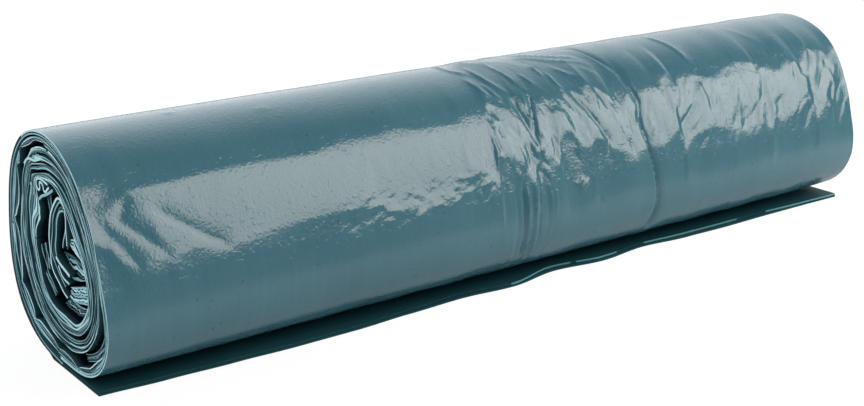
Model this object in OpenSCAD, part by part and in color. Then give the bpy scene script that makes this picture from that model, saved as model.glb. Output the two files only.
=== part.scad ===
// A soft roll of folded film bags. It lies on its side, on the loose end of its own film.
// X runs along the roll, -Y is the front, where the loose end points, and Z is up.
// The origin is at the middle of the footprint, on the surface that the roll lies on.

/* [Roll] */
// Length of the roll, which is the width of one folded bag
roll_length = 350; // [240:5:600]
// Diameter of the roll, as if it hadn't sagged
roll_diameter = 78; // [76:0.5:110]
// How far the soft section sags towards a pear, as a share of its radius
sag = 0.054; // [0:0.002:0.06]
// Angle by which the sag is turned towards the front
sag_turn = 2; // [0:1:10]
// How far the section leans towards the back, as a share of its radius
lean = 0.022; // [0:0.002:0.05]
// How flat the underside and the shoulders are, as a share of the radius
flatness = 0.028; // [0:0.002:0.03]
// How far the flat spot under the roll reaches behind its middle
flat_reach = 8; // [4:0.5:12]

/* [Turns] */
// Thickness of the outermost wrap
wrap_t = 1.4; // [1:0.1:2]
// Thickness of one inner turn, where it is neither slack nor squeezed
turn_t = 3.4; // [2.4:0.1:3.6]
// Gap between two turns that lie on each other
turn_gap = 0.5; // [0.3:0.1:0.7]
// Widest part of the crescent gap that the slack outer turns leave
crescent = 4.2; // [1:0.1:5]
// Clear space behind the flattened heart
heart_gap = 11; // [6:0.5:12]
// Angle from one kink of a slack turn's inner film to the next
kink_pitch = 30; // [20:5:60]
// Depth of a kink
kink_depth = 1.5; // [0.5:0.1:2]

/* [Loose end] */
// Reach of the loose end in front of the middle of the roll
tail_reach = 30; // [20:1:36]
// Thickness of each of the two sheets of the loose end
sheet_t = 0.8; // [0.6:0.1:1]
// How far the upper sheet stops short of the lower one at most
sheet_step = 2; // [1:0.5:4]

/* [Folds in the outer film] */
// Height of the folds above the smooth film
fold_height = 1.1; // [0.3:0.1:2]
// Half the width of one fold at its foot
fold_half_width = 4; // [3:0.1:5]
// Distance from the middle of the roll to the long crease
crease_at = 45; // [40:1:60]
// Distance from the long crease to the short one
crease_pitch = 38; // [25:1:45]

/* [Hidden] */

// Columns in one turn of the spiral
ROUND = 36;
// Turns of the spiral, the heart included
TURNS = 6;
COLUMNS = ROUND * TURNS;

radius = roll_diameter / 2;
// The loose end is two sheets, and the second turn lies on it
tail_t = 2 * sheet_t;

// Share of an inner turn's thickness at the bottom, back, top and front, from the second turn in
turn_shares = [
    [1.2, 1.2, 0.65, 0.75],
    [1.05, 1.3, 1.05, 0.95],
    [1, 1, 1, 0.85],
    [0.8, 0.95, 0.75, 0.7],
    [0.7, 0.75, 0.75, 0.7]
];
// Share of the crescent gap under the second turn at each eighth of it, from the bottom to the
// back, the top, the front and the lower front
CRESCENT_TURN = 1;
crescent_shares = [0.45, 1.3, 1, 1.2, 0.55, 0.1, 0.25, 1.1];
// Share of the clear space between the fifth turn and the heart, the same eight ways round
HEART_TURN = 4;
heart_shares = [0.97, 1.15, 1, 0.8, 0.7, 0, 0, 0.2];
// The two turns whose inner film is slack and kinked, and the share of a turn, either side of
// the lower back, on which the kinks stand
kinked_turns = [1.2, 4.2];
KINKED_PART = 0.3;

// Thickness of the film at each quarter turn, from the loose end to the heart
thicknesses = concat(
    [tail_t, wrap_t, wrap_t, wrap_t],
    [for (row = turn_shares) for (share = row) turn_t * share],
    [turn_t * turn_shares[4][0]]
);

// Thickness of the film after a number of turns
function thickness(turns) = look_up(thicknesses, 4 * turns);

// Gap under the film after a number of turns
function gap(turns) =
    turn_gap
    + crescent * slack_share(crescent_shares, turns - CRESCENT_TURN)
    + heart_gap * slack_share(heart_shares, turns - HEART_TURN);

// A share from a list of eight, which fades away before and after its turn
function slack_share(shares, turns) = look_up(concat([0], shares, [0]), max(0, min(9, 8 * turns + 1)));

// Depth of the film's outer face below the outline, which it reaches from the loose end in an
// eighth of a turn
function depth(turns) =
    turns < 1
        ? -outline_lift * look_up([1, 0, 0], min(2, 8 * turns))
        : depth(turns - 1) + thickness(turns - 1) + gap(turns - 1);

// Offsets of the lower sheet's free edge, spaced evenly along the roll
edge_wave = [-2.4, -0.9, 0.2, 1.2, 1.3, 0.2, -0.6, 1.4, -2.2, 0.6, -1.9, 0.3, 0.9, 0.6, 0.7, 1.1];
// Share of the step between the two sheets, spaced the same way
step_wave = [0.1, 0.1, 0.2, 0.1, 0.2, 0.4, 0.9, 0.2, 1, 0.7, 0.5, 0.9, 1, 0.7, 0.2, 0.1];

// Each fold: its distance from the middle where it passes the front's shoulder, how far it drifts
// towards +X in a quarter turn, the two angles from the top towards the front between which it
// stands, and its share of the full height
folds = [
    [-24, 3, 28, 96, 0.6],
    [-15, 9, -20, 62, 0.7],
    [-6, 4, -36, 140, 1],
    [2, -3, 24, 128, 0.9],
    [11, 2, 34, 104, 0.8],
    [18, 14, -30, 40, 0.6],
    [30, 18, -24, 84, 0.7],
    [crease_at, 5, -60, 136, 1],
    [crease_at + 17, -7, 36, 96, 0.5],
    [crease_at + crease_pitch, 5, -40, 88, 0.7]
];
// The shoulder's angle, and the angle in which a fold rises at either end
SHOULDER = 45;
FOLD_END = 14;

// Places along the roll where the outer film has points, close together only where it is folded
FINE_STEP = 2.6;
COARSE_STEPS = 3;
folded_from = -34;
folded_to = crease_at + crease_pitch + 8;
fine_steps = ceil((folded_to - folded_from) / FINE_STEP);
stations = concat(
    [for (i = [0:COARSE_STEPS - 1]) between(-roll_length / 2, folded_from, i / COARSE_STEPS)],
    [for (i = [0:fine_steps]) between(folded_from, folded_to, i / fine_steps)],
    [for (i = [1:COARSE_STEPS]) between(folded_to, roll_length / 2, i / COARSE_STEPS)]
);
ends = [-roll_length / 2, roll_length / 2];

function between(a, b, share) = a + (b - a) * share;

// A value from a list at a place that may lie between two entries, joined by smooth steps
function look_up(list, place) =
    let (
        i = min(floor(place), len(list) - 2),
        f = place - i
    )
    between(list[i], list[i + 1], f * f * (3 - 2 * f));

// Radius of the sagged outline at an angle from the bottom towards the back
function outline_radius(a) =
    radius * (1 - lean * sin(2 * a) - sag * cos(3 * (a + sag_turn)) - flatness * cos(4 * a));

// The outline's lowest point lies on the loose end
centre_height = tail_t + turn_gap + max([for (a = [-30:5:30]) outline_radius(a) * cos(a)]);
outline_lift = centre_height - outline_radius(0);

// A point of the section, from its distance to the middle and its angle
function section_point(r, a) = [r * sin(a), max(0, centre_height - r * cos(a))];

// Angle of a column
function column_angle(column) = 360 * column / ROUND;

// Height of the folds at a place along the roll and an angle from the bottom towards the back
function folds_at(x, a) = max([for (fold = folds) fold_rise(fold, x, a - 180)]);

function fold_rise(fold, x, down) =
    let (
        middle = fold[0] + fold[1] * (down - SHOULDER) / 90,
        across = min(1, abs(x - middle) / fold_half_width),
        along = max(0, min(1, (down - fold[2]) / FOLD_END, (fold[3] - down) / FOLD_END))
    )
    fold_height * fold[4] * along * pow(1 - across * across, 2);

// How much a kink thins the film of a slack turn
function kink(column) =
    let (slack = len([for (k = kinked_turns) if (abs(column / ROUND - k) < KINKED_PART) k]))
    slack * kink_depth * (1 - sin(180 * (column_angle(column) % kink_pitch) / kink_pitch));

// Outer face of the film at a column and a place along the roll
function outer_point(column, x) =
    let (
        a = column_angle(column),
        lift = column < ROUND ? folds_at(x, a) : 0,
        p = section_point(outline_radius(a) - depth(column / ROUND) + lift, a)
    )
    [x, p[0], a < 90 && p[0] < flat_reach ? 0 : p[1]];

// Inner face of the film at a column and a place along the roll
function inner_point(column, x) =
    let (
        a = column_angle(column),
        turns = column / ROUND,
        under = depth(turns) + thickness(turns) - kink(column),
        p = section_point(outline_radius(a) - under, a)
    )
    [x, p[0], p[1]];

// Free edge of a sheet of the loose end, which is drawn back by a share of the step
function edge_point(x, z, drawn) =
    let (place = (x / roll_length + 0.5) * (len(edge_wave) - 1))
    [x, -tail_reach - look_up(edge_wave, place) + drawn * sheet_step * look_up(step_wave, place), z];

// The columns of the closed skin, in one ring round the film's section
lower_edge_under = [for (x = stations) edge_point(x, 0, 0)];
lower_edge_over = [for (x = stations) edge_point(x, sheet_t, 0)];
upper_edge_under = [for (x = stations) edge_point(x, sheet_t, 1)];
upper_edge_over = [for (x = stations) edge_point(x, tail_t, 1)];
ring = concat(
    [lower_edge_under],
    [for (c = [0:ROUND]) [for (x = stations) outer_point(c, x)]],
    [for (c = [ROUND + 1:COLUMNS]) [for (x = ends) outer_point(c, x)]],
    [for (c = [COLUMNS:-1:1]) [for (x = ends) inner_point(c, x)]],
    [[for (x = stations) inner_point(0, x)], upper_edge_over, upper_edge_under, lower_edge_over]
);
RING = len(ring);

// Number of the first point of each column, and of the point after the last
starts = [for (i = 0, n = 0; i <= RING; n = n + (i < RING ? len(ring[i]) : 0), i = i + 1) n];

// The roll's middle in Y, so that it stands on the origin
all_y = [for (column = ring) for (p = column) p[1]];
middle_y = (min(all_y) + max(all_y)) / 2;

function first(i) = starts[i];
function last(i) = starts[i + 1] - 1;

// Faces between a column and the next one round the ring
function strip(i) =
    let (
        j = (i + 1) % RING,
        n = len(ring[i]),
        m = len(ring[j])
    )
    n == m
        ? [for (k = [0:n - 2]) [first(i) + k, first(i) + k + 1, first(j) + k + 1, first(j) + k]]
        : n > m
            ? [concat([first(j)], [for (k = [first(i):last(i)]) k], [last(j)])]
            : [concat([last(i)], [for (k = [last(j):-1:first(j)]) k], [first(i)])];

// Place in the ring of a column's outer and inner face
function outer_place(column) = 1 + column;
function inner_place(column) = RING - 4 - column;

// The end face of the film between one column and the next, at either end of the roll
function cap(column, at_start) =
    let (
        places = [
            outer_place(column), outer_place(column + 1), inner_place(column + 1), inner_place(column)
        ],
        corners = [for (i = places) at_start ? first(i) : last(i)]
    )
    at_start ? corners : [for (k = [3:-1:0]) corners[k]];

// The end face of the loose end
function tail_cap(at_start) =
    let (
        places = [outer_place(0), inner_place(0), RING - 3, RING - 2, RING - 1, 0],
        corners = [for (i = places) at_start ? first(i) : last(i)]
    )
    at_start ? corners : [for (k = [5:-1:0]) corners[(k + 1) % 6]];

// One folded web of film, wound into a roll, with its loose end
module bag_roll() {
    color("#47707c")
    translate([0, -middle_y, 0])
    polyhedron(
        points = [for (column = ring) for (p = column) p],
        faces = concat(
            [for (i = [0:RING - 1]) for (face = strip(i)) face],
            [for (c = [0:COLUMNS - 1]) for (at_start = [true, false]) cap(c, at_start)],
            [tail_cap(true), tail_cap(false)]
        ),
        convexity = 10
    );
}

bag_roll();
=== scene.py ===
# A soft roll of folded film bags, lying on the loose end of its own film.
# Sizes are in millimetres until a mesh is made. X runs along the roll, -Y is the front, Z is up.
import math

import bpy
import numpy as np
from mathutils import Matrix, Vector


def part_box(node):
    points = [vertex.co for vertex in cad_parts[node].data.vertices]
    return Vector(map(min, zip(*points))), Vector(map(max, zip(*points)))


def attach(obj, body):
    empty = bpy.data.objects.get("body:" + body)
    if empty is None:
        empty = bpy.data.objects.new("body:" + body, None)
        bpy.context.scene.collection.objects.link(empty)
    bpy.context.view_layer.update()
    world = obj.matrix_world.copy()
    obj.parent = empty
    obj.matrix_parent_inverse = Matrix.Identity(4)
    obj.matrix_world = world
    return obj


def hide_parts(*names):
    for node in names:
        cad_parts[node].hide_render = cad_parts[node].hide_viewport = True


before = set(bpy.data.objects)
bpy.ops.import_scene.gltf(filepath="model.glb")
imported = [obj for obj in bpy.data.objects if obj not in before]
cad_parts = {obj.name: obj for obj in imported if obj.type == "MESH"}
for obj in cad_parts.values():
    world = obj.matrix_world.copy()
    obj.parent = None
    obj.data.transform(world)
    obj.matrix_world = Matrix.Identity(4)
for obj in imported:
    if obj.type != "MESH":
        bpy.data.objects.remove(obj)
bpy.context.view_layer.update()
NODE = "bag_roll"
MM = 0.001
node_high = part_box(NODE)[1]

# The roll's section, with the same values as the CAD source
ROLL_LENGTH = 350
RADIUS = 39
SAG, SAG_TURN = 0.054, 2
LEAN = 0.022
FLATNESS = 0.028
FLAT_REACH = 8
TURN_GAP = 0.5
TAIL_REACH = 30
SHEET_T = 0.8
SHEET_STEP = 2
TAIL_T = 2 * SHEET_T
SECOND_FILM_DEPTH = 0.84
FILM_T = 0.42
TAIL_FILM_T = 0.7
EDGE_WAVE = [-2.4, -0.9, 0.2, 1.2, 1.3, 0.2, -0.6, 1.4, -2.2, 0.6, -1.9, 0.3, 0.9, 0.6, 0.7, 1.1]
STEP_WAVE = [0.1, 0.1, 0.2, 0.1, 0.2, 0.4, 0.9, 0.2, 1, 0.7, 0.5, 0.9, 1, 0.7, 0.2, 0.1]

# Places along the roll are given in radii from the near end, as UNIT millimetres each
UNIT = 39.37
NEAR_END = -ROLL_LENGTH / 2
FAR_END = ROLL_LENGTH / 2
# The far end's section is a little smaller
FAR_SCALE = 0.99


def look_up(values, place):
    """Value from an evenly spaced list at a place between its entries, joined by smooth steps."""
    values = np.asarray(values, float)
    place = np.asarray(place, float)
    i = np.clip(np.floor(place).astype(int), 0, len(values) - 2)
    f = np.clip(place - i, 0, 1)
    return values[i] + (values[i + 1] - values[i]) * f * f * (3 - 2 * f)


def smooth(value, low, high):
    """Smooth step from 0 at low to 1 at high."""
    f = np.clip((value - low) / (high - low), 0, 1)
    return f * f * (3 - 2 * f)


def outline_radius(angle):
    """Radius of the sagged outline at an angle in degrees from the bottom towards the back."""
    a = np.radians(angle)
    return RADIUS * (
        1
        - LEAN * np.sin(2 * a)
        - SAG * np.cos(3 * (a + math.radians(SAG_TURN)))
        - FLATNESS * np.cos(4 * a)
    )


low_angles = np.arange(-30, 31, 5)
CENTRE_HEIGHT = TAIL_T + TURN_GAP + float(
    np.max(outline_radius(low_angles) * np.cos(np.radians(low_angles)))
)
OUTLINE_LIFT = CENTRE_HEIGHT - float(outline_radius(0))

# The film has left the floor after this share of its first turn
RISE_TURNS = 0.125


def film_depth(turns, layer):
    """Depth of a film's outer face below the outline. It starts on the floor and rises to it."""
    on_floor = look_up([1, 0, 0], np.minimum(2, turns / RISE_TURNS))
    return layer * SECOND_FILM_DEPTH - OUTLINE_LIFT * on_floor


# The CAD stands with its middle on the origin in Y
back_angles = np.arange(60, 130, 10)
BACK_REACH = float(np.max(outline_radius(back_angles) * np.sin(np.radians(back_angles))))
Y_SHIFT = node_high[1] / MM - BACK_REACH


def place(x, y, z):
    """Points in millimetres from their place in the section, drawn in a little at the far end."""
    x, y, z = np.broadcast_arrays(x, y, z)
    scale = 1 + (FAR_SCALE - 1) * (x - NEAR_END) / ROLL_LENGTH
    return np.stack([x, y * scale + Y_SHIFT, np.maximum(z, 0) * scale], axis=-1)


def section(x, radius, angle):
    """Points on the roll from their distance to its middle and their angle."""
    a = np.radians(angle)
    return place(x, radius * np.sin(a), CENTRE_HEIGHT - radius * np.cos(a))


def smooth_normal(angle):
    """Angle of the smooth film's normal at an angle from the top, both towards the front."""
    step = 0.5
    from_bottom = angle + 180
    before, after = outline_radius(from_bottom - step), outline_radius(from_bottom + step)
    slope = (after - before) / math.radians(2 * step) / outline_radius(from_bottom)
    return angle - np.degrees(np.arctan(slope))


# How far the outermost films are drawn in at the roll's ends, and over which length of the roll,
# at angles from the bottom towards the back
DRAWN_AT_END = [
    (0, 0.2), (180, 0.2), (200, 0.4), (212, 0.7), (228, 1.3), (242, 1.9), (257, 2.1), (270, 2),
    (282, 1.2), (293, 0.5), (320, 0.4), (340, 0.3), (360, 0.2),
]
DRAWN_LENGTH, DRAWN_POWER = 14, 1.5
# Thickness of the outermost film's edge, which is hemmed where the roll lies slack, and the
# distances from the end between which the hem fades
EDGE_T = [
    (0, 1.2), (20, 1.2), (30, 1.5), (40, 1.7), (50, 1.7), (60, 1.6), (70, 1.5), (80, 1.4), (90, 1.2),
    (110, 1), (130, 0.8), (150, 0.7), (165, 0.6), (180, 0.55), (200, 0.5), (220, 0.42), (320, 0.42),
    (340, 0.8), (360, 1.2),
]
HEM_FADES = (1, 4)


def drawn_in(angle, from_end):
    """How far a film near an end lies inside the outline."""
    share = np.exp(-((from_end / DRAWN_LENGTH) ** DRAWN_POWER))
    return np.interp(angle % 360, *zip(*DRAWN_AT_END)) * share


def hem(angle, from_end):
    """How much thicker than elsewhere the outermost film is near an end."""
    more = np.interp(angle % 360, *zip(*EDGE_T)) - FILM_T
    return more * (1 - smooth(from_end, *HEM_FADES))


# Waves and creases of the outermost film. Angles here are from the top towards the front.
# The smooth film mirrors the front lamp between these two places
LIT_FROM, LIT_TO = 41.75, 79.75
DEGREE = RADIUS * math.radians(1)

# Where the lamp's reflection starts and stops along the roll, as folds turn the film
LIT_TOP = [
    (0, 53), (0.12, 52), (0.25, 49.5), (0.33, 46.5), (0.75, 45.5), (1.4, 44), (2, 45.5), (2.15, 44),
    (2.35, 41.8), (2.6, 42.2), (2.95, 40.8), (3.15, 43.5), (3.3, 42.8), (3.55, 44), (3.65, 41), (3.9, 41.5),
    (3.98, 36.5), (4.03, 38), (4.13, 40.5), (4.27, 41), (4.3, 42.5), (4.35, 39), (4.4, 38),
    (4.48, 38.5), (4.52, 41), (5.1, 41), (5.21, 35.5), (5.3, 39.5), (5.38, 42), (5.43, 46),
    (5.47, 50), (5.53, 51.5), (5.58, 50), (5.62, 47.5), (5.66, 46), (5.7, 50), (5.73, 52),
    (5.8, 46), (5.93, 44), (6, 43), (6.08, 46), (6.27, 36.5), (6.34, 47), (6.37, 42),
    (6.65, 41.5), (6.75, 44.5), (6.9, 44.5), (7, 42.5), (7.2, 39.5), (7.3, 38.8), (7.5, 39.5),
    (7.55, 43), (7.7, 45), (7.9, 47), (8, 44), (8.07, 42.5), (8.2, 48), (8.35, 40),
    (8.42, 37.5), (8.5, 40), (8.65, 40), (8.76, 43.5), (8.85, 40.5),
]
LIT_BOTTOM = [
    (0, 68), (0.08, 72), (0.18, 79), (0.3, 84), (0.38, 84.5), (0.5, 79), (0.65, 81.5),
    (0.8, 79.5), (0.95, 80.5), (1.15, 82.5), (1.25, 82.5), (1.4, 80.5),
    (1.8, 78.5), (2.2, 77), (2.45, 79), (2.6, 82), (2.9, 86), (3.1, 87), (3.25, 83), (3.5, 77),
    (3.55, 72), (3.7, 77), (3.78, 82), (3.85, 84), (3.89, 66), (3.95, 68), (4.05, 67.5),
    (4.15, 75), (4.2, 79), (4.25, 82), (4.29, 82), (4.34, 68), (4.38, 68), (4.43, 76), (4.5, 79),
    (4.58, 79), (4.66, 63), (4.72, 60), (4.8, 61), (4.9, 71), (5, 74), (5.05, 67), (5.2, 71),
    (5.3, 76.5), (5.5, 82), (5.78, 80), (5.95, 81.5), (6, 80), (6.04, 78), (6.19, 72),
    (6.23, 86.5), (6.34, 80), (6.44, 77), (6.5, 79), (6.65, 75.5), (6.8, 78), (7, 81), (7.07, 79.5),
    (7.3, 81.5), (7.42, 80), (7.53, 87), (7.6, 78), (7.7, 81), (8, 76), (8.2, 70), (8.27, 86),
    (8.35, 81), (8.5, 78), (8.7, 76), (8.8, 79), (8.89, 76),
]
# How fast a fold turns the film at its edge, in degrees per degree, and how far past the edge's
# own angle. It turns fully up to the first of two angles from the edge, and not past the second.
TURN_RATE, TURN_MORE = 3, 4
TURN_FULL, TURN_GONE = 35, 45
# Between folds that turn the film one way and the other, the turn changes over this many degrees
TURN_BLEND = 1.5
# Above the lit band a fold dies away over FADE_UP degrees, and below it over FADE_DOWN. The film
# rises to a fold's crest by a share of the fold. The gather has a slower fade and a lower rise.
FADE_UP = 30
FADE_DOWN, GATHER_FADE_MORE = 25, 15
RISE_SHARE, GATHER_RISE_LESS = 0.55, 0.25
GATHER_START, GATHER_END = (3.8, 4.0), (5.2, 5.5)
# In degrees: how far above the upper edge its wave is full, over how much the film rises to a
# fold's crest, and how far below the fold's foot the film starts to come back
CREST_GAP, RISE_OVER, FOOT_GAP = 2, 30, 5


def steer(x_places, angles):
    """Height of the waves that move the edges of the lamp's reflection to their places."""
    top = np.interp(x_places, *zip(*LIT_TOP))[:, None]
    bottom = np.interp(x_places, *zip(*LIT_BOTTOM))[:, None]
    a = angles[None, :]
    step = np.gradient(angles) * DEGREE
    normal = smooth_normal(a)

    def wave(edge, still):
        """Height of a wave that brings an edge from its still place to another."""
        goal = smooth_normal(still)
        ramp = goal + TURN_RATE * (a - edge)
        early = np.maximum(np.minimum(ramp, goal + TURN_MORE) - normal, 0)
        late = np.minimum(np.maximum(ramp, goal - TURN_MORE) - normal, 0)
        share = smooth(still - edge, -TURN_BLEND, TURN_BLEND)
        turn = early * share + late * (1 - share)
        turn = turn * smooth(a, still - TURN_GONE, still - TURN_FULL)
        turn = turn * (1 - smooth(a, still + TURN_FULL, still + TURN_GONE))
        return np.cumsum(np.tan(np.radians(turn)) * step, axis=1)

    # Nothing moves below the upper edge, and above it the wave dies away
    rise = wave(top, LIT_FROM)
    crest = np.minimum(top, LIT_FROM) - CREST_GAP
    above = (rise[:, -1:] - rise) * smooth(a, crest - FADE_UP, crest)

    # The film first rises to a fold's crest, then falls along its flat side
    fall = wave(bottom, LIT_TO)
    in_gather = smooth(x_places, *GATHER_START) * (1 - smooth(x_places, *GATHER_END))
    rise_to = (RISE_SHARE - GATHER_RISE_LESS * in_gather)[:, None] * fall[:, -1:]
    crest = np.minimum(bottom, LIT_TO)
    lead = smooth(a, crest - RISE_OVER, crest - 1)
    fade_down = (FADE_DOWN + GATHER_FADE_MORE * in_gather)[:, None]
    foot = np.maximum(bottom, LIT_TO) + FOOT_GAP
    back = smooth(a, foot, foot + fade_down)
    below = rise_to * lead - fall + (fall[:, -1:] - rise_to) * back
    return above + below


# Creases and ridges: height, width on the near side, width on the far side, and the line that
# each follows as places along the roll and angles
CREASES = [
    # The near end's soft wrinkles
    (-0.6, 1.8, 2.6, [(0.46, 54), (0.68, 65), (0.9, 75), (1.15, 84)]),
    (-0.5, 1.5, 2.2, [(0.2, 57), (0.34, 66), (0.48, 75), (0.62, 84)]),
    (-0.45, 1.2, 1.7, [(0.07, 58), (0.16, 68), (0.26, 78), (0.36, 88)]),
    (-0.5, 1.2, 1.4, [(0.33, 47), (0.28, 55), (0.18, 63)]),
    (-0.25, 1.2, 1.2, [(0.03, 54), (0.1, 62), (0.08, 74), (0.06, 92)]),
    # The gather in the middle
    (-0.7, 0.9, 1.3, [(3.98, 36), (3.94, 45), (3.915, 53), (3.92, 60), (3.96, 68)]),
    (-0.3, 1.6, 1.6, [(4.03, 47), (4.0, 58)]),
    (-1.0, 1.0, 1.5, [(4.24, 31), (4.28, 38), (4.31, 48), (4.35, 58), (4.37, 67)]),
    (-1.0, 1.4, 1.0, [(4.51, 32), (4.47, 38), (4.42, 50), (4.38, 60), (4.365, 68)]),
    (0.5, 0.9, 0.9, [(4.4, 33), (4.39, 45), (4.37, 57)]),
    (-0.5, 0.8, 1.0, [(4.37, 66), (4.41, 75), (4.48, 81)]),
    (-0.25, 0.7, 0.9, [(4.16, 61), (4.2, 72), (4.24, 83)]),
    (-0.25, 0.7, 0.9, [(4.24, 59), (4.26, 70), (4.27, 81)]),
    (0.3, 0.8, 1.2, [(4.48, 46), (4.42, 60), (4.4, 70), (4.45, 79)]),
    (-0.3, 0.7, 1.0, [(4.57, 58), (4.57, 68), (4.56, 78)]),
    (-0.3, 0.6, 0.7, [(4.62, 39), (4.66, 44), (4.69, 49)]),
    (-0.2, 0.5, 0.6, [(4.7, 44), (4.79, 47), (4.86, 50)]),
    (-0.45, 0.7, 0.9, [(4.86, 38), (4.92, 46), (4.99, 56)]),
    (-0.85, 0.9, 1.4, [(4.96, 35), (5.03, 44), (5.1, 52), (5.2, 65), (5.29, 74)]),
    (-0.35, 0.8, 1.3, [(5.24, 35), (5.29, 40), (5.33, 45), (5.37, 56)]),
    (-0.3, 1.3, 1.8, [(5.43, 42), (5.48, 50), (5.5, 56)]),
    (-0.3, 2.2, 2.6, [(5.56, 50), (5.59, 62), (5.58, 80)]),
    (-0.9, 0.5, 0.8, [(4.14, 80), (4.115, 88), (4.11, 98), (4.13, 128)]),
    (0.5, 0.6, 0.8, [(4.17, 84), (4.155, 98), (4.17, 130)]),
    (-0.35, 0.6, 0.8, [(4.05, 80), (4.03, 92), (4.05, 128)]),
    (-0.4, 0.6, 0.7, [(4.22, 84), (4.2, 104), (4.22, 134)]),
    (0.4, 0.6, 0.7, [(4.26, 82), (4.25, 104), (4.27, 134)]),
    (-0.45, 0.6, 0.7, [(4.32, 82), (4.3, 96), (4.31, 128)]),
    (-0.35, 0.7, 0.9, [(4.4, 86), (4.41, 104), (4.4, 122)]),
    (0.3, 0.7, 0.9, [(4.47, 88), (4.5, 100), (4.49, 112)]),
    # A flat side between ridges, and ridges that fan out over the top of the gather
    (1.1, 9.0, 0.9, [(4.03, -8), (4.13, -4), (4.26, 1), (4.42, 7)]),
    (0.5, 0.7, 1.0, [(3.88, -14), (3.9, -2), (3.93, 5), (3.99, 10), (4.1, 14)]),
    (0.5, 0.7, 1.0, [(3.93, 13), (3.96, 21), (4.0, 28), (4.06, 36)]),
    (0.5, 0.7, 0.9, [(4.05, 20), (4.09, 27), (4.12, 32), (4.18, 39)]),
    (0.6, 0.7, 1.2, [(4.08, 2), (4.09, 12), (4.14, 20), (4.2, 26), (4.28, 32)]),
    (0.6, 1.0, 0.8, [(4.3, 0), (4.37, 11), (4.42, 20), (4.44, 28)]),
    (0.45, 0.6, 0.8, [(4.55, 17), (4.59, 25), (4.63, 31)]),
    (0.45, 0.6, 0.8, [(4.76, 8), (4.78, 17), (4.8, 25)]),
    (0.45, 0.6, 0.8, [(4.85, 17), (4.87, 30), (4.93, 41)]),
    (0.45, 0.6, 0.8, [(4.96, 17), (5.1, 26), (5.22, 30)]),
    (0.5, 0.9, 0.6, [(4.7, -3), (4.95, 6), (5.1, 11), (5.4, 17)]),
    (0.45, 0.9, 0.6, [(4.72, -9), (5.0, 1), (5.2, 7), (5.45, 12)]),
    (0.35, 1.2, 1.8, [(4.0, -34), (4.2, -24), (4.5, -12)]),
    (0.3, 1.2, 1.8, [(4.3, -38), (4.6, -22), (4.8, -14)]),
    # The long crease that runs right down the front
    (-1.1, 0.9, 1.2, [(5.5, -60), (5.52, -30), (5.54, -5), (5.56, 3), (5.585, 11), (5.64, 21),
                      (5.71, 29), (5.73, 40), (5.76, 50), (5.71, 60), (5.71, 68), (5.735, 76),
                      (5.757, 85), (5.79, 93), (5.81, 101), (5.85, 110), (5.87, 136)]),
    (-0.5, 0.8, 1.0, [(5.73, 74), (5.757, 85), (5.79, 93), (5.81, 101), (5.85, 110), (5.87, 134)]),
    (0.35, 1.4, 1.6, [(5.48, -20), (5.5, 0), (5.53, 12), (5.59, 22), (5.66, 30)]),
    (0.4, 1.2, 1.6, [(5.69, 70), (5.71, 78), (5.73, 86), (5.76, 94), (5.78, 102), (5.81, 112)]),
    (-0.3, 1.2, 2.0, [(5.9, 47), (5.85, 54), (5.8, 61), (5.76, 71)]),
    (0.4, 1.5, 1.5, [(5.68, 36), (5.7, 42), (5.68, 48)]),
    (-0.35, 0.9, 1.4, [(6.22, 36), (6.17, 42), (6.13, 48), (6.14, 58), (6.16, 66)]),
    (-0.8, 1.2, 1.4, [(6.52, 57), (6.43, 62), (6.32, 67), (6.2, 73)]),
    # The second crease and its wedge
    (0.5, 0.6, 1.6, [(6.53, -6), (6.56, 5), (6.6, 12), (6.63, 20), (6.65, 28), (6.67, 35)]),
    (-0.3, 0.7, 0.9, [(6.66, 38), (6.69, 50), (6.71, 60), (6.73, 71)]),
    (-0.35, 1.2, 1.8, [(6.66, 41), (6.57, 47), (6.5, 52), (6.44, 56)]),
    # Long slack creases towards the far end
    (-0.5, 1.2, 2.2, [(7.03, 82), (7.2, 76.5), (7.32, 72), (7.42, 67), (7.5, 62), (7.57, 53),
                      (7.66, 45)]),
    (-0.3, 1.0, 1.8, [(7.45, 75), (7.62, 71), (7.7, 68.5), (7.85, 66), (7.92, 62)]),
    (-0.25, 0.8, 1.0, [(8.2, 45), (8.19, 57)]),
    (-0.3, 1.0, 1.6, [(8.65, 41), (8.62, 50), (8.5, 60), (8.44, 69)]),
    # Soft bands above them
    (-0.2, 2.5, 3.0, [(6.05, 6), (6.08, 22), (6.1, 36)]),
    (-0.2, 2.5, 3.0, [(6.33, 6), (6.36, 22), (6.37, 36)]),
    (0.2, 2.5, 3.0, [(7.6, 0), (7.7, 14), (7.9, 30)]),
    # Scuffs and bumps
    (0.8, 0.9, 0.8, [(4.76, 93.5), (4.81, 91), (4.87, 88)]),
    (0.8, 0.9, 0.8, [(4.78, 96.5), (4.86, 93), (4.94, 90)]),
    (0.3, 0.7, 0.7, [(1.83, 9), (1.86, 15)]),
    (0.25, 0.9, 0.9, [(1.06, -4), (1.1, 2)]),
]
# A crease fades out over this length at both ends, or over a third of itself if that is less
CREASE_END = 7
# All the heights and widths above are taken this many times
CREASE_SCALE, CREASE_WIDTH = 1.25, 0.9


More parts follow.
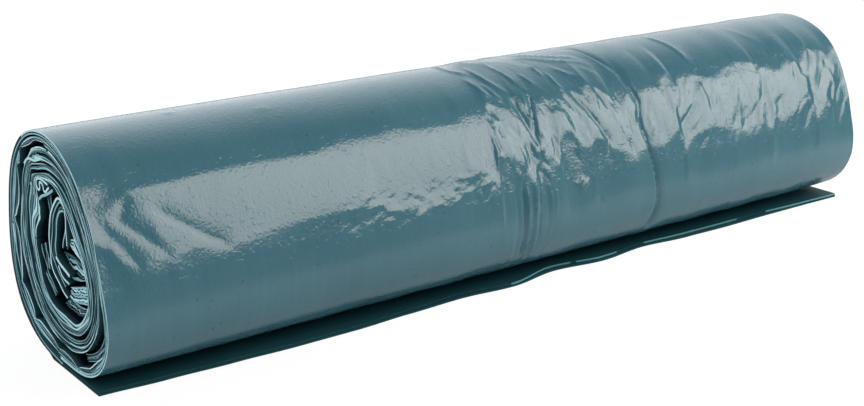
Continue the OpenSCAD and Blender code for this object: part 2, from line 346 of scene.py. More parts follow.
def crease_heights(x_places, angles):
    """Height of all the creases and ridges over a grid of places and angles."""
    px, pa = np.meshgrid(x_places * UNIT, angles * DEGREE, indexing="ij")
    total = np.zeros_like(px)
    for height, near, far, line in CREASES:
        corners = [(x * UNIT, a * DEGREE) for x, a in line]
        best = np.full(px.shape, 1e9)
        side = np.ones(px.shape)
        along = np.zeros(px.shape)
        run = 0.0
        for (x0, a0), (x1, a1) in zip(corners, corners[1:]):
            dx, da = x1 - x0, a1 - a0
            length = math.hypot(dx, da)
            f = np.clip(((px - x0) * dx + (pa - a0) * da) / length ** 2, 0, 1)
            away_x, away_a = px - x0 - f * dx, pa - a0 - f * da
            away = np.hypot(away_x, away_a)
            closer = away < best
            best = np.where(closer, away, best)
            side = np.where(closer, np.sign(away_x * da - away_a * dx), side)
            along = np.where(closer, run + f * length, along)
            run += length
        width = np.where(side > 0, far, near)
        end = min(CREASE_END, run / 3)
        fade = smooth(along, 0, end) * (1 - smooth(along, run - end, run))
        total += CREASE_SCALE * height * np.exp(-best / (CREASE_WIDTH * width)) * fade
    return total


# How much the crests of waves and of small creases differ in their lean, in degrees
WAVE_SPREAD, CREASE_SPREAD = 14, 16


def waves(x_places, angles, count, lengths, tilt, seed):
    """Sum of slow random waves, mostly across the roll, with their crests near the given tilt."""
    draw = np.random.RandomState(seed)
    px, pa = np.meshgrid(x_places * UNIT, angles * DEGREE, indexing="ij")
    total = np.zeros_like(px)
    for _ in range(count):
        length = draw.uniform(*lengths)
        turn = math.radians(tilt + draw.normal(0, WAVE_SPREAD))
        phase = draw.uniform(0, 2 * math.pi)
        total += np.sin(2 * math.pi * (px * math.cos(turn) + pa * math.sin(turn)) / length + phase)
    return total / math.sqrt(count)


# Parts of the film that are crumpled: first and last place along the roll, first and last angle,
# number of small creases, their greatest height, shortest and longest length, lean, seed
CRUMPLED = [
    (3.88, 5.55, 40, 82, 90, 0.34, 5, 17, 8, 21),
    (4.1, 4.45, 60, 84, 14, 0.4, 6, 12, -4, 22),
    (5.6, 6.2, 42, 80, 16, 0.25, 6, 14, -10, 23),
    (4.0, 5.5, -12, 34, 34, 0.2, 8, 22, 24, 24),
    (3.95, 4.6, 84, 130, 18, 0.3, 10, 26, 1, 25),
    (0.05, 0.9, 48, 92, 20, 0.13, 6, 16, 18, 26),
    (6.2, 8.85, 40, 84, 80, 0.36, 8, 24, -26, 27),
    (3.3, 3.88, 72, 88, 16, 0.2, 3, 8, 20, 28),
    (2.2, 3.75, 73, 91, 230, 0.2, 1.2, 4, 30, 29),
    (0.9, 3.8, 44, 76, 110, 0.07, 5, 18, 3, 30),
]
# Width of a small crease, and how many times wider its far side is, how much creases bend, and
# the share of them that are ridges, and the lowest one's height as a share of the greatest
SMALL_CREASE_WIDTH, FAR_SIDE_WIDER = 0.75, 1.8
CREASE_BEND = 0.025
RIDGE_SHARE = 0.45
LOWEST_SHARE = 0.4
# Small creases reach past their part by less than these, along the roll and in degrees
MARGIN_X, MARGIN_ANGLE = 0.3, 14


def small_creases(x_places, angles):
    """Height of the scattered small creases of the crumpled parts."""
    total = np.zeros((len(x_places), len(angles)))
    for x_from, x_to, a_from, a_to, count, height, shortest, longest, lean, seed in CRUMPLED:
        draw = np.random.RandomState(seed)
        i = slice(*np.searchsorted(x_places, (x_from - MARGIN_X, x_to + MARGIN_X)))
        j = slice(*np.searchsorted(angles, (a_from - MARGIN_ANGLE, a_to + MARGIN_ANGLE)))
        px, pa = np.meshgrid(x_places[i] * UNIT, angles[j] * DEGREE, indexing="ij")
        for _ in range(count):
            x = draw.uniform(x_from, x_to) * UNIT
            a = draw.uniform(a_from, a_to) * DEGREE
            turn = math.radians(lean + draw.normal(0, CREASE_SPREAD))
            half = draw.uniform(shortest, longest) / 2
            bend = draw.normal(0, CREASE_BEND)
            side = draw.uniform(LOWEST_SHARE, 1) * height
            side = side * (1 if draw.uniform() < RIDGE_SHARE else -1)
            along = (px - x) * math.sin(turn) + (pa - a) * math.cos(turn)
            away = (px - x) * math.cos(turn) - (pa - a) * math.sin(turn) - bend * along ** 2
            width = SMALL_CREASE_WIDTH * np.where(away > 0, 1, FAR_SIDE_WIDER)
            fade = np.clip(1 - (along / half) ** 2, 0, 1)
            total[i, j] += side * fade * np.exp(-np.abs(away) / width)
    return total


# Slow waves of the slack part, of the whole front and of the back: height, and what makes them
SLACK_HEIGHT, SLACK_WAVES = 0.08, (9, (14, 34), -10, 12)
FRONT_HEIGHT, FRONT_WAVES = 0.05, (9, (24, 70), 0, 13)
BACK_HEIGHT, BACK_WAVES = 0.22, (12, (9, 40), 6, 14)
# Places from which the film is slack, and angles over which the front starts at the top and ends
# below, and over which the back gets smooth towards the underside
SLACK_FROM = 5.2, 6.0
FRONT_FROM, FRONT_TO, SMOOTH_FROM = (-60, -20), (130, 160), (150, 170)
# The film can only go in as far as the next one, which lies close under it at the ends
ROOM_AT_END, ROOM_MORE, ROOM_OVER = 0.35, 1.85, (0.05, 0.4)


def wrinkles(x_places, angles):
    """Height of the outermost film above the smooth outline, in millimetres."""
    x = x_places[:, None]
    a = angles[None, :]
    total = steer(x_places, angles) + crease_heights(x_places, angles)
    total = total + small_creases(x_places, angles)
    slack = smooth(x, *SLACK_FROM)
    total = total + SLACK_HEIGHT * slack * waves(x_places, angles, *SLACK_WAVES)
    total = total + FRONT_HEIGHT * waves(x_places, angles, *FRONT_WAVES)
    front = smooth(a, *FRONT_FROM) * (1 - smooth(a, *FRONT_TO))
    behind = BACK_HEIGHT * waves(x_places, angles, *BACK_WAVES)
    total = total * front + behind * (1 - front) * (1 - smooth(a, *SMOOTH_FROM))
    from_end = np.minimum(x, 2 * FAR_END / UNIT - x)
    room = ROOM_AT_END + ROOM_MORE * smooth(from_end, *ROOM_OVER)
    sunk = room * (1 - np.exp(np.minimum(total, 0) / room))
    return np.where(total < 0, -sunk, total)


# Meshes

# Faces that meet at more than this angle have a sharp edge between them
SHARP_FROM = math.radians(50)


def add_object(name, data):
    thing = bpy.data.objects.new(name, data)
    bpy.context.scene.collection.objects.link(thing)
    return thing


def film_piece(name, vertices, faces, slots, materials):
    """Piece of film from its points in millimetres, its faces and their material slots."""
    mesh = bpy.data.meshes.new(name)
    mesh.from_pydata((vertices * MM).tolist(), [], faces)
    for material in materials:
        mesh.materials.append(material)
    mesh.polygons.foreach_set("material_index", slots)
    mesh.shade_smooth()
    mesh.set_sharp_from_angle(angle=SHARP_FROM)
    piece = add_object(name, mesh)
    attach(piece, "root")
    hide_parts(NODE)


def closed_skin(columns, caps, cap_slots, loose_columns, loose_slot, edge_slots):
    """Points, faces and material slots of columns that stand in one closed ring round a section.

    Each column is its points along the roll and their marks, which say where they stand, and a
    column with fewer points shares its marks with the next. Caps are pairs of columns that face
    each other across the film, one pair after the other, and each pair has a slot. Faces between
    loose columns have the loose slot, and those of the free edge have slots of their own.
    """
    starts = np.cumsum([0] + [len(points) for points, _ in columns])
    faces = []
    slots = []
    for i, (points, marks) in enumerate(columns):
        j = (i + 1) % len(columns)
        other = columns[j][1]
        a, b = starts[i], starts[j]
        before = len(faces)
        if len(marks) == len(other):
            k = np.arange(len(marks) - 1)
            quads = np.stack([a + k, b + k, b + k + 1, a + k + 1], axis=1)
            faces += quads.tolist()
        else:
            shared = np.intersect1d(marks, other)
            here, there = np.searchsorted(marks, shared), np.searchsorted(other, shared)
            for k in range(len(shared) - 1):
                one = list(range(a + here[k], a + here[k + 1] + 1))
                two = list(range(b + there[k], b + there[k + 1] + 1))
                faces.append([int(n) for n in one[:1] + two + one[:0:-1]])
        made = len(faces) - before
        if i not in loose_columns or j not in loose_columns:
            slots += [0] * made
        elif j == 0:
            slots += edge_slots
        else:
            slots += [loose_slot] * made
    first = starts[:-1]
    last = starts[1:] - 1
    for (p, q), (r, s), slot in zip(caps, caps[1:], cap_slots):
        faces.append([int(first[n]) for n in (p, q, s, r)])
        faces.append([int(last[n]) for n in (q, p, r, s)])
        slots += [slot, slot]
    return np.concatenate([points for points, _ in columns]), faces, slots


# Materials


def add_node(tree, kind, inputs, **settings):
    """New shader node. Each of its inputs is set to a value, or linked if that is an output."""
    node = tree.nodes.new("ShaderNode" + kind)
    for name, value in settings.items():
        setattr(node, name, value)
    for name, value in inputs.items():
        if isinstance(value, bpy.types.NodeSocket):
            tree.links.new(value, node.inputs[name])
        else:
            node.inputs[name].default_value = value
    return node


def add_range(tree, value, start, stop, first=0, last=1, **settings):
    """Output that goes from a first to a last value while its input goes from start to stop."""
    inputs = {"Value": value, "From Min": start, "From Max": stop, "To Min": first, "To Max": last}
    return add_node(tree, "MapRange", inputs, **settings).outputs[0]


def add_axes(tree, source, output):
    """The X, Y and Z of a place that a node gives."""
    where = add_node(tree, source, {}).outputs[output]
    return add_node(tree, "SeparateXYZ", {0: where}).outputs


WHITE, BLACK = (1, 1, 1), (0, 0, 0)
# Film this far from the roll's ends has its full painted shade, the inside colour
PAINTED_SHADE_FROM = 3
FILM_IOR = 1.5
# Noises: scale, detail and stretch
EVEN = (1, 1, 1)
STREAK_NOISE = 1, 3, (700, 14, 14)
CLOUD_NOISE = 38, 4, EVEN
SPECK_NOISE = 800, 0, EVEN
PEEL_NOISE = 1100, 1, EVEN
GRAIN_NOISE = 700, 0, EVEN
# Ramps over the noises: from, to and two colours. Streaks are two shades of the film's own.
STREAK_RAMP, STREAK_SHADES = (0.3, 0.7), (0.97, 1.03)
CLOUD_RAMP = 0.3, 0.7, (0.9, 0.92, 0.94), (1.06, 1.05, 1.04)
SPECK_RAMP = 0.15, 0.2, (0.6, 0.65, 0.68), WHITE
GRAIN_RAMP = 0.66, 0.76, BLACK, WHITE
# Height of the grains as a share of the orange peel's
GRAIN_HEIGHT = 0.4


def film_material(name, colour, roughness, bump_mm, gloss=0.95, inside=None):
    """Glossy film with fine grain, streaks from the extruder and a few specks.

    Film inside the roll is painted darker, as shade, with the inside colour away from its cut edges.
    """
    material = bpy.data.materials.new(name)
    material.use_nodes = True
    tree = material.node_tree
    shader = tree.nodes["Principled BSDF"]
    shader.inputs["Roughness"].default_value = roughness
    shader.inputs["IOR"].default_value = FILM_IOR
    shader.inputs["Specular IOR Level"].default_value = gloss
    where = add_node(tree, "TexCoord", {}).outputs["Object"]

    def noise(scale, detail, stretch):
        spread = add_node(tree, "Mapping", {"Vector": where, "Scale": stretch}).outputs["Vector"]
        inputs = {"Vector": spread, "Scale": scale, "Detail": detail}
        return add_node(tree, "TexNoise", inputs).outputs["Fac"]

    def ramp(source, low, high, from_colour, to_colour):
        node = add_node(tree, "ValToRGB", {"Fac": source})
        ends = node.color_ramp.elements
        for end, position, shade in zip(ends, (low, high), (from_colour, to_colour)):
            end.position = position
            end.color = (*shade, 1)
        return node.outputs["Color"]

    def multiplied(first, second):
        inputs = {"Factor": 1, "A": first, "B": second}
        node = add_node(tree, "Mix", inputs, data_type="RGBA", blend_type="MULTIPLY")
        return node.outputs["Result"]

    def bumped(height, distance, more):
        inputs = {"Height": height, "Strength": 1, "Distance": distance, **more}
        return add_node(tree, "Bump", inputs).outputs["Normal"]

    darker, lighter = (tuple(shade * c for c in colour) for shade in STREAK_SHADES)
    streaks = ramp(noise(*STREAK_NOISE), *STREAK_RAMP, darker, lighter)
    clouds = ramp(noise(*CLOUD_NOISE), *CLOUD_RAMP)
    specks = ramp(noise(*SPECK_NOISE), *SPECK_RAMP)
    if inside:
        # Painted shade: the film darkens to its inside colour away from the roll's ends
        x = add_axes(tree, "TexCoord", "Object")["X"]
        from_middle = add_node(tree, "Math", {0: x}, operation="ABSOLUTE").outputs[0]
        reach = add_range(tree, from_middle, (FAR_END - PAINTED_SHADE_FROM) * MM, FAR_END * MM)
        deep = tuple(i / c for i, c in zip(inside, colour))
        streaks = multiplied(streaks, ramp(reach, 0, 1, deep, WHITE))
    tinted = multiplied(multiplied(streaks, clouds), specks)
    tree.links.new(tinted, shader.inputs["Base Color"])

    # Orange peel, and the small hard grains that press through the film
    peel = bumped(noise(*PEEL_NOISE), bump_mm * MM, {})
    grains = ramp(noise(*GRAIN_NOISE), *GRAIN_RAMP)
    normal = bumped(grains, GRAIN_HEIGHT * bump_mm * MM, {"Normal": peel})
    tree.links.new(normal, shader.inputs["Normal"])
    return material


# Materials: colour, roughness, height of the orange peel in millimetres, gloss, painted shade inside
OUTER = film_material("film_outer", (0.047, 0.137, 0.178), 0.17, 0.08)
# The films inside the roll are painted darker than the outer one, as the shade in their gaps
INNER = film_material("film_inner_painted_shade", (0.04, 0.115, 0.138), 0.4, 0.1, 0.2, inside=(0.003, 0.01, 0.014))
# The loose end is painted much darker than the outer film, as the shade it lies in under the roll
TAIL = film_material("film_loose_end_painted_shade", (0.012, 0.055, 0.068), 0.4, 0.06, 0.03)
# A paler copy of the film, for the painted highlight along the loose end's upper edge
LIT_EDGE = film_material("film_lit_edge", (0.1, 0.28, 0.33), 0.4, 0.1, 0.4)
# A near black copy of the film: painted shade on the outer film's edge under and behind the roll
SHADED_EDGE = film_material("film_edge_painted_shade", (0.005, 0.02, 0.023), 0.4, 0.1, 0.08)
# The films' cut edges, from pale to dim
RIMS = [
    film_material("film_rim_pale", (0.5, 0.8, 0.85), 0.4, 0.1, 0.5),
    film_material("film_rim", (0.25, 0.53, 0.6), 0.4, 0.1, 0.4),
    film_material("film_rim_dim", (0.05, 0.12, 0.14), 0.4, 0.1, 0.3),
]

# The films

# Where columns of points stand along the roll: close together only where the film is folded
FINE_PARTS = [
    (0, 1.3, 0.035), (1.3, 2.2, 0.06), (2.2, 3.6, 0.026), (3.6, 5.9, 0.0135), (5.9, 8.89, 0.022),
]
fine_marks = np.unique(np.concatenate([
    np.linspace(start, stop, int(round((stop - start) / step)) + 1)
    for start, stop, step in FINE_PARTS
]))
FINE_X = NEAR_END + fine_marks / fine_marks[-1] * ROLL_LENGTH
COARSE_FROM_END = [0, 1.2, 4, 9, 25, 60, 120]
FINE_MARKS = np.arange(len(FINE_X))


def nearest_marks(x_from_end):
    """Marks of the fine places that are nearest to places measured from both ends."""
    wanted = [NEAR_END + x for x in x_from_end] + [FAR_END - x for x in x_from_end]
    return np.unique([int(np.argmin(np.abs(FINE_X - x))) for x in wanted])


COARSE_MARKS = nearest_marks(COARSE_FROM_END)

# The two outermost films, which come from the loose end and go once round the roll.
# Shares of the way from the free edge to the roll's middle, and rows of the film after them
TAIL_SHARES = [0, 0.04, 0.12, 0.25, 0.45, 0.7, 0.9]
LOOSE_ROWS = 3
LAST_ANGLE = 366
# Angles of the rows of each film: from, to and step
FILM_ANGLES = [
    [(0, 148, 4), (148, 210, 1.6), (210, 275, 1), (275, 322, 1.6), (322, LAST_ANGLE, 4)],
    [(0, LAST_ANGLE, 2.5)],
]
# Angles over which the films get drawn in at the ends, thin and hemmed, and over which the second
# one gets clear of the outer one's folds
DRAWN_OVER, THIN_OVER, HEM_OVER, CLEAR_OVER = (0, 12), (0, 36), (20, 50), (36, 100)
# The outer film lies flat on the floor before this angle, as far as the flat spot reaches
UNDERSIDE_TO = 90
# Away from the ends the second film is lowered by this much, to be clear of the outer one's folds
LOWERED, LOWERED_OVER = 3.2, (5, 16)
# There the outer film's inner face, which is hidden, lies this deep below the film without folds.
# Past the first angles it needs few points along the roll.
FOLD_DEPTH, FOLD_OVER, HIDDEN_OVER = 2.2, (2, 9), (20, 100)
FINE_INSIDE_TO = 20
# The film's edge, hem included, is painted dark as shade up to this angle, under and behind the
# roll, and is pale from there
PALE_FROM = 150
# Past this place the free edge of the upper sheet has a painted highlight here and there, wherever
# the sum of two sines, with these rates along the roll, is over a level
EDGE_LIT_FROM = 4.1
EDGE_LIT_RATES, EDGE_LIT_OVER = (3.1, 7.3), -0.7


def tail_point(x, height, drawn, share):
    """Point of a sheet of the loose end, at a share of the way from its free edge to the roll."""
    at = (x / ROLL_LENGTH + 0.5) * (len(EDGE_WAVE) - 1)
    edge = -TAIL_REACH - look_up(EDGE_WAVE, at) + drawn * SHEET_STEP * look_up(STEP_WAVE, at)
    return place(x, edge * (1 - share), height)


WRINKLE_STEP = 0.8
wrinkle_angles = np.arange(-180, 200, WRINKLE_STEP)
wrinkle_grid = wrinkles(fine_marks, wrinkle_angles)


def wrinkle_row(angle):
    """Wrinkle heights along the roll at an angle from the bottom towards the back."""
    at = (angle - 180 - wrinkle_angles[0]) / WRINKLE_STEP
    i = min(int(at), len(wrinkle_angles) - 2)
    f = at - i
    return wrinkle_grid[:, i] * (1 - f) + wrinkle_grid[:, i + 1] * f


def film_columns(layer):
    """Columns of the outer and the inner face of one film from its free edge, and the angles."""
    outer, inner = [], []
    base = layer * SHEET_T
    for share in TAIL_SHARES:
        for side, height in ((outer, base), (inner, base + TAIL_FILM_T)):
            side.append((tail_point(FINE_X, height, layer, share), FINE_MARKS))
    marks = COARSE_MARKS if layer else FINE_MARKS
    x = FINE_X[marks]
    from_end = np.minimum(x - NEAR_END, FAR_END - x)
    angles = np.concatenate([np.arange(*part) for part in FILM_ANGLES[layer]])
    for angle in angles:
        still = outline_radius(angle) - film_depth(angle / 360, layer)
        still = still - drawn_in(angle, from_end) * smooth(angle, *DRAWN_OVER)
        film_t = FILM_T + (TAIL_FILM_T - FILM_T) * (1 - smooth(angle, *THIN_OVER))
        thicker = hem(angle, from_end) * smooth(angle, *HEM_OVER)
        if layer:
            radius = still - thicker
            radius = radius - LOWERED * smooth(from_end, *LOWERED_OVER) * smooth(angle, *CLEAR_OVER)
        else:
            radius = still + wrinkle_row(angle)
        points = section(x, radius, angle)
        if angle < UNDERSIDE_TO and not layer:
            points[:, 2] = np.where(points[:, 1] - Y_SHIFT < FLAT_REACH, 0, points[:, 2])
        outer.append((points, marks))
        keep = COARSE_MARKS if angle > FINE_INSIDE_TO else marks
        pick = np.searchsorted(marks, keep)
        depth = radius[pick]
        if not layer:
            film_t = film_t + thicker[pick]
            hidden = smooth(from_end[pick], *FOLD_OVER) * smooth(angle, *HIDDEN_OVER)
            depth = depth + (still[pick] - FOLD_DEPTH - depth) * hidden
        inner.append((section(x[pick], depth - film_t, angle), keep))
    return outer, inner, angles


def build_film(name, layer):
    outer, inner, angles = film_columns(layer)
    count = len(outer)
    caps = [(c, 2 * count - 1 - c) for c in range(count)]
    on_floor = len(TAIL_SHARES)
    near_edge = on_floor + LOOSE_ROWS
    loose = {*range(near_edge), *range(2 * count - near_edge, 2 * count)}
    # Edge slots: the loose end's, then the painted shade up to the pale angle, then the pale rim
    dark = 0 if layer else on_floor + (angles < PALE_FROM).sum()
    cap_slots = [1 if c < on_floor else 2 if c < dark else 3 for c in range(count)]
    places = fine_marks[1:]
    shine = sum(np.sin(rate * places) for rate in EDGE_LIT_RATES)
    lit = (places > EDGE_LIT_FROM) & (shine > EDGE_LIT_OVER)
    edge_slots = np.where(lit & (layer == 1), 4, 1).tolist()
    skin = closed_skin(outer + inner[::-1], caps, cap_slots, loose, 1, edge_slots)
    film_piece(name, *skin, [OUTER, TAIL, SHADED_EDGE, RIMS[layer], LIT_EDGE])


build_film("outer_film", 0)
build_film("second_film", 1)

# The wound films inside them, as lines on the near end in radii of the roll: how far towards the
# back, then how high. The slack second turn has kinks on its inner side.
SLACK_OUTSIDE = [
    (0, 1.925), (0.1, 1.927), (0.2, 1.915), (0.3, 1.89), (0.4, 1.855), (0.5, 1.8), (0.585, 1.73),
    (0.675, 1.62), (0.755, 1.5), (0.8, 1.395), (0.84, 1.29), (0.872, 1.2), (0.895, 1.1),
    (0.907, 1), (0.903, 0.9), (0.9, 0.8), (0.89, 0.695), (0.868, 0.595), (0.825, 0.495),
    (0.765, 0.4), (0.695, 0.305), (0.6, 0.215), (0.49, 0.17), (0.4, 0.145), (0.3, 0.13), (0.2, 0.118),
    (0.1, 0.107), (0, 0.097), (-0.1, 0.09), (-0.2, 0.085), (-0.3, 0.08), (-0.4, 0.086),
    (-0.5, 0.1), (-0.6, 0.128), (-0.7, 0.18), (-0.79, 0.25), (-0.855, 0.33), (-0.89, 0.42),
    (-0.905, 0.52), (-0.91, 0.62), (-0.9, 0.7), (-0.885, 0.8), (-0.865, 0.9), (-0.845, 1),
    (-0.82, 1.1), (-0.79, 1.2), (-0.75, 1.3), (-0.7, 1.4), (-0.64, 1.5), (-0.57, 1.6),
    (-0.48, 1.69), (-0.38, 1.775), (-0.28, 1.835), (-0.19, 1.88), (-0.1, 1.91),
]
SLACK_INSIDE = [
    (0, 1.87), (0.04, 1.895), (0.12, 1.893), (0.21, 1.885), (0.25, 1.865), (0.33, 1.82),
    (0.42, 1.785), (0.5, 1.757), (0.575, 1.75), (0.565, 1.7), (0.59, 1.64), (0.6, 1.6),
    (0.675, 1.585), (0.66, 1.53), (0.67, 1.4), (0.685, 1.3), (0.705, 1.22), (0.75, 1.15),
    (0.78, 1.1), (0.855, 1.07), (0.8, 1.04), (0.77, 0.98), (0.755, 0.9), (0.748, 0.8),
    (0.735, 0.7), (0.735, 0.62), (0.75, 0.56), (0.79, 0.525), (0.72, 0.5), (0.66, 0.46),
    (0.6, 0.4), (0.56, 0.35), (0.54, 0.3), (0.55, 0.245), (0.5, 0.26), (0.44, 0.28), (0.4, 0.275),
    (0.35, 0.26), (0.28, 0.235), (0.2, 0.2), (0.13, 0.16), (0.075, 0.135), (0.03, 0.15),
    (-0.05, 0.158), (-0.13, 0.157), (-0.2, 0.147), (-0.26, 0.122), (-0.315, 0.1), (-0.36, 0.13),
    (-0.45, 0.155), (-0.54, 0.18), (-0.62, 0.24), (-0.7, 0.3), (-0.79, 0.36), (-0.85, 0.43),
    (-0.872, 0.52), (-0.872, 0.62), (-0.86, 0.72), (-0.84, 0.82), (-0.825, 0.9), (-0.805, 1),
    (-0.78, 1.1), (-0.75, 1.2), (-0.71, 1.3), (-0.65, 1.42), (-0.6, 1.51), (-0.51, 1.62),
    (-0.41, 1.705), (-0.3, 1.78), (-0.2, 1.825), (-0.1, 1.855),
]
BODY_OUTSIDE = [
    (0, 1.85), (0.1, 1.85), (0.2, 1.835), (0.3, 1.8), (0.36, 1.755), (0.43, 1.685), (0.5, 1.63),
    (0.53, 1.58), (0.565, 1.5), (0.6, 1.4), (0.64, 1.3), (0.665, 1.2), (0.69, 1.1), (0.7, 1),
    (0.697, 0.9), (0.69, 0.8), (0.66, 0.71), (0.62, 0.63), (0.58, 0.56), (0.53, 0.49),
    (0.48, 0.43), (0.42, 0.38), (0.37, 0.34), (0.3, 0.3), (0.2, 0.25), (0.1, 0.225), (0, 0.21),
    (-0.1, 0.205), (-0.2, 0.21), (-0.3, 0.23), (-0.4, 0.26), (-0.5, 0.31), (-0.6, 0.39),
    (-0.65, 0.44), (-0.7, 0.51), (-0.74, 0.58), (-0.77, 0.64), (-0.79, 0.72), (-0.805, 0.8),
    (-0.81, 0.9), (-0.79, 1), (-0.765, 1.1), (-0.735, 1.2), (-0.69, 1.31), (-0.625, 1.42),
    (-0.56, 1.51), (-0.48, 1.6), (-0.39, 1.68), (-0.3, 1.745), (-0.2, 1.8), (-0.1, 1.835),
]
BODY_INSIDE = [
    (0, 1.67), (0.1, 1.66), (0.2, 1.635), (0.3, 1.62), (0.385, 1.6), (0.405, 1.55), (0.43, 1.5),
    (0.47, 1.4), (0.505, 1.3), (0.53, 1.2), (0.55, 1.1), (0.56, 1), (0.545, 0.9), (0.515, 0.8),
    (0.47, 0.7), (0.42, 0.6), (0.36, 0.5), (0.29, 0.43), (0.2, 0.4), (0.1, 0.365), (0, 0.34),
    (-0.1, 0.33), (-0.2, 0.33), (-0.3, 0.34), (-0.4, 0.37), (-0.5, 0.42), (-0.58, 0.5),
    (-0.64, 0.58), (-0.69, 0.66), (-0.72, 0.74), (-0.735, 0.84), (-0.725, 0.93), (-0.69, 1.03),
    (-0.65, 1.12), (-0.6, 1.22), (-0.54, 1.32), (-0.47, 1.42), (-0.39, 1.51), (-0.3, 1.59),
    (-0.2, 1.64), (-0.1, 1.665),
]
INNER_OUTSIDE = [
    (0, 1.645), (0.1, 1.635), (0.2, 1.61), (0.3, 1.585), (0.37, 1.56), (0.39, 1.5), (0.43, 1.4),
    (0.47, 1.3), (0.495, 1.2), (0.51, 1.1), (0.51, 1), (0.5, 0.9), (0.475, 0.8), (0.435, 0.7),
    (0.385, 0.6), (0.3, 0.5), (0.2, 0.435), (0.1, 0.4), (0, 0.37), (-0.1, 0.36), (-0.2, 0.36),
    (-0.3, 0.375), (-0.4, 0.41), (-0.49, 0.47), (-0.57, 0.54), (-0.62, 0.61), (-0.65, 0.69),
    (-0.67, 0.78), (-0.67, 0.87), (-0.655, 0.95), (-0.62, 1.05), (-0.575, 1.14), (-0.53, 1.23),
    (-0.48, 1.32), (-0.42, 1.41), (-0.35, 1.5), (-0.28, 1.56), (-0.2, 1.605), (-0.1, 1.635),
]
INNER_INSIDE = [
    (0, 1.57), (0.1, 1.575), (0.2, 1.57), (0.27, 1.53), (0.3, 1.46), (0.29, 1.38), (0.25, 1.3),
    (0.26, 1.2), (0.35, 1.12), (0.385, 1.04), (0.4, 0.95), (0.385, 0.85), (0.36, 0.77),
    (0.32, 0.69), (0.26, 0.61), (0.19, 0.545), (0.1, 0.515), (0, 0.495), (-0.1, 0.49),
    (-0.2, 0.48), (-0.28, 0.47), (-0.36, 0.5), (-0.45, 0.56), (-0.51, 0.62), (-0.56, 0.69),
    (-0.585, 0.77), (-0.59, 0.84), (-0.57, 0.91), (-0.535, 0.99), (-0.49, 1.08), (-0.44, 1.17),
    (-0.38, 1.27), (-0.33, 1.35), (-0.27, 1.43), (-0.2, 1.49), (-0.1, 1.54),
]
# Rings of films: name, lines, number of films, share of its room that a film fills, how far the
# films stand back from the roll's end, how uneven they are, rims from pale to dim, seed
RINGS = [
    ("slack_turn", SLACK_OUTSIDE, SLACK_INSIDE, 5, 0.82, 0.2, 0.4, [1, 0, 1, 2, 0], 51),
    ("second_turn", BODY_OUTSIDE, BODY_INSIDE, 9, 0.7, 0.3, 0.5, [0, 1, 2, 1, 0, 2, 1, 2, 1], 52),
    ("third_turn", INNER_OUTSIDE, INNER_INSIDE, 6, 0.78, 0.5, 0.4, [1, 2, 1, 0, 1, 0], 53),
]
# Fans of films between two lines: number, share, how far they stand back, rims, and the lines
FANS = [
    (6, 0.6, 2.5, [1, 2, 1],
     [(-0.33, 0.215), (-0.45, 0.25), (-0.6, 0.33), (-0.72, 0.46), (-0.8, 0.62), (-0.835, 0.78)],
     [(-0.38, 0.165), (-0.55, 0.215), (-0.7, 0.33), (-0.83, 0.45), (-0.862, 0.6), (-0.85, 0.75)]),
    (6, 0.7, 1, [1, 0, 1],
     [(-0.25, 0.775), (-0.4, 0.815), (-0.5, 0.855), (-0.57, 0.87)],
     [(-0.2, 0.655), (-0.33, 0.65), (-0.47, 0.68), (-0.56, 0.71)]),
    (4, 0.5, 2.5, [1, 2],
     [(-0.15, 0.64), (-0.3, 0.62), (-0.45, 0.635), (-0.53, 0.67)],
     [(0.04, 0.53), (-0.12, 0.52), (-0.28, 0.51), (-0.4, 0.56)]),
    (4, 0.6, 1.5, [0, 0],
     [(-0.26, 1.17), (-0.34, 1.2), (-0.41, 1.17), (-0.47, 1.08), (-0.53, 0.97)],
     [(-0.25, 1.12), (-0.3, 1.07), (-0.36, 1.04), (-0.43, 1.03), (-0.51, 0.96)]),
    (5, 0.6, 3, [2, 1, 0],
     [(-0.02, 1), (-0.12, 1.01), (-0.25, 1.02), (-0.38, 0.99), (-0.47, 0.95)],
     [(0, 0.86), (-0.1, 0.8), (-0.22, 0.79), (-0.33, 0.82), (-0.4, 0.85)]),
    (4, 0.5, 2, [1, 2, 1],
     [(0.39, 0.95), (0.345, 0.85), (0.3, 0.75)],
     [(0.27, 1), (0.23, 0.9), (0.18, 0.8)]),
    (4, 0.5, 1.5, [1, 1, 2],
     [(0.3, 0.72), (0.21, 0.64), (0.14, 0.57)],
     [(0.25, 0.79), (0.16, 0.71), (0.09, 0.63)]),
    (3, 0.5, 3, [1, 2],
     [(0.25, 1.42), (0.23, 1.3), (0.2, 1.2), (0.22, 1.12)],
     [(0.14, 1.44), (0.13, 1.3), (0.12, 1.2), (0.16, 1.1)]),
]
